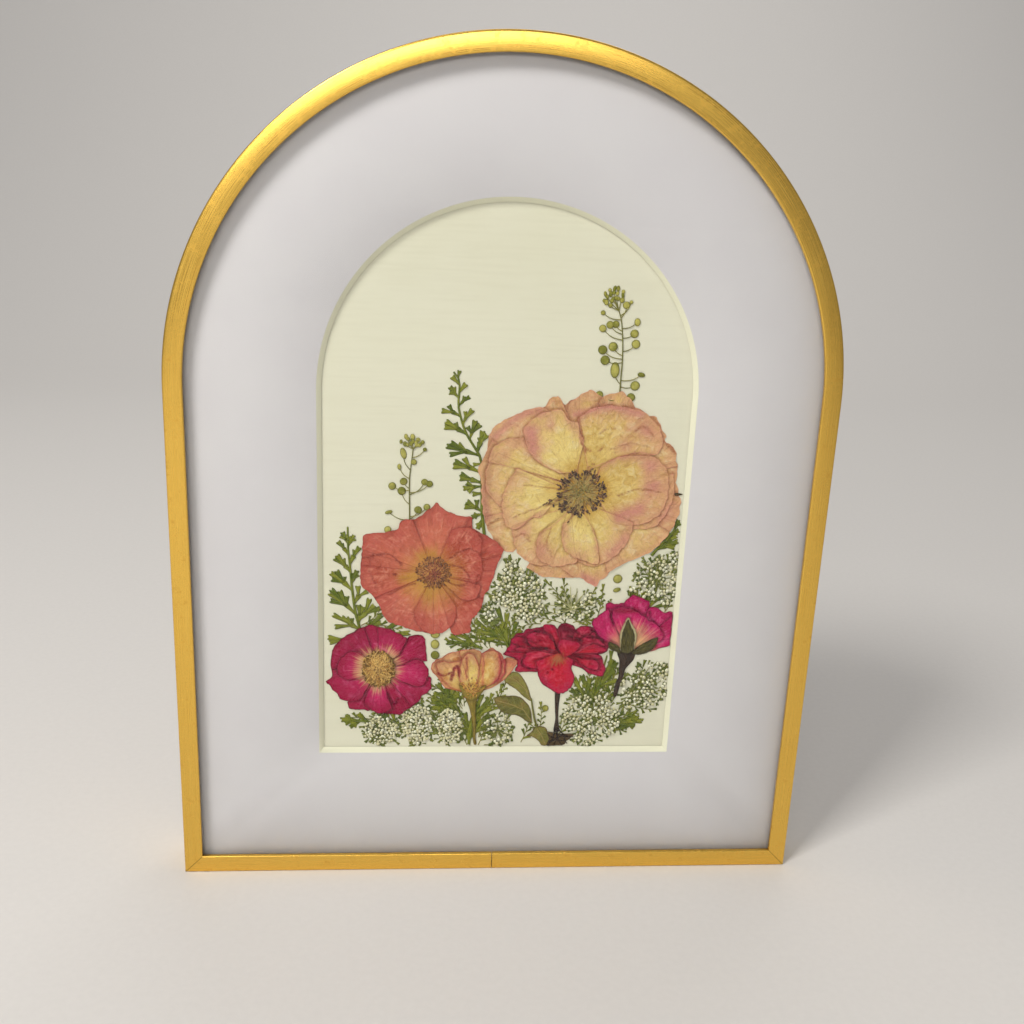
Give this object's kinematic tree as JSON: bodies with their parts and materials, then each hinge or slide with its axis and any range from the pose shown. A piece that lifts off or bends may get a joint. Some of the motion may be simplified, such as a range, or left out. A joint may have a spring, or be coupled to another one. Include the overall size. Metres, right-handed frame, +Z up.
{
  "type": "pressed flower frame",
  "caption": "Arched gold-coloured metal frame with glass and a window mat, holding pressed roses, fern fronds, seed sprigs and white umbels on ivory card.",
  "frame": {"origin": "centre of the underside of the frame's bottom rail, where the standing frame rests", "axes": "+Z up towards the top of the arch, +X to the right seen from the front, +Y backwards; the glass faces -Y"},
  "size_m": [0.216, 0.02, 0.28],
  "materials": {
    "gold_metal": "satin gold-coloured metal strip with fine lengthwise lines",
    "clear_glass": "clear and smooth",
    "mat_board": "matte pale grey-white paper board with a cream bevelled core",
    "ivory_card": "matte ivory card with a faint fibre",
    "fibreboard": "smooth brown fibreboard",
    "plated_steel": "plated sheet steel",
    "peach_petal": "dried petal, matte with fine veins",
    "coral_petal": "dried petal, matte with fine veins",
    "magenta_petal": "dried petal, matte with fine veins",
    "apricot_petal": "dried petal, matte with fine veins",
    "red_petal": "dried petal, matte with fine veins",
    "cerise_petal": "dried petal, matte with fine veins",
    "dark_stamen": "dried stamens, dark brown",
    "brown_stamen": "dried stamens, red-brown",
    "gold_stamen": "dried stamens, gold",
    "tan_stem": "dried green-brown stem",
    "dark_stem": "dried woody stem",
    "sepal": "dried dark olive sepals with cream edges",
    "rose_leaf": "dried olive leaf with pale veins",
    "fern_green": "dried green frond",
    "seed_pod": "dried flat green-gold pod",
    "white_floret": "dried cream-white florets"
  },
  "bodies": {
    "root": {"frame_rail": "gold_metal", "glazing": "clear_glass", "window_mat": "mat_board", "backing_card": "ivory_card", "back_board": "fibreboard", "sawtooth_hanger": "plated_steel", "hanger_nail_left": "plated_steel", "hanger_nail_right": "plated_steel", "tab_left_1": "plated_steel", "tab_left_2": "plated_steel", "tab_right_1": "plated_steel", "tab_right_2": "plated_steel", "tab_base": "plated_steel", "tab_top": "plated_steel", "peach_rose_outer_petals": "peach_petal", "peach_rose_inner_petals": "peach_petal", "peach_rose_stamens": "dark_stamen", "coral_rose_petals": "coral_petal", "coral_rose_stamens": "brown_stamen", "magenta_rose_petals": "magenta_petal", "magenta_rose_stamens": "gold_stamen", "apricot_rose_petals": "apricot_petal", "apricot_rose_stem": "tan_stem", "red_rose_petals": "red_petal", "red_rose_stem": "dark_stem", "cerise_rose_petals": "cerise_petal", "cerise_rose_calyx": "sepal", "rose_leaf_spray": "rose_leaf", "green_leaf_left_of_stem": "fern_green", "green_leaf_behind_stem": "fern_green", "fern_upper": "fern_green", "fern_left": "fern_green", "fern_right": "fern_green", "fern_middle": "fern_green", "fern_below_coral_rose": "fern_green", "fern_centre": "fern_green", "fern_under_cerise_rose": "fern_green", "fern_low_left": "fern_green", "fern_low_right": "fern_green", "seed_pod_sprig_right": "seed_pod", "seed_pod_sprig_left": "seed_pod", "seed_pod_1": "seed_pod", "seed_pod_2": "seed_pod", "seed_pod_3": "seed_pod", "seed_pod_4": "seed_pod", "seed_pod_5": "seed_pod", "seed_pod_6": "seed_pod", "white_umbel_top": "white_floret", "white_umbel_right": "white_floret", "white_umbel_low_centre": "white_floret", "white_umbel_low_right": "white_floret", "white_umbel_middle": "white_floret", "white_umbel_small": "white_floret", "white_umbel_low_left": "white_floret", "white_umbel_under_magenta_rose": "white_floret", "white_umbel_left_of_stem": "white_floret", "white_umbel_right_of_stem": "white_floret"}
  },
  "joints": []
}
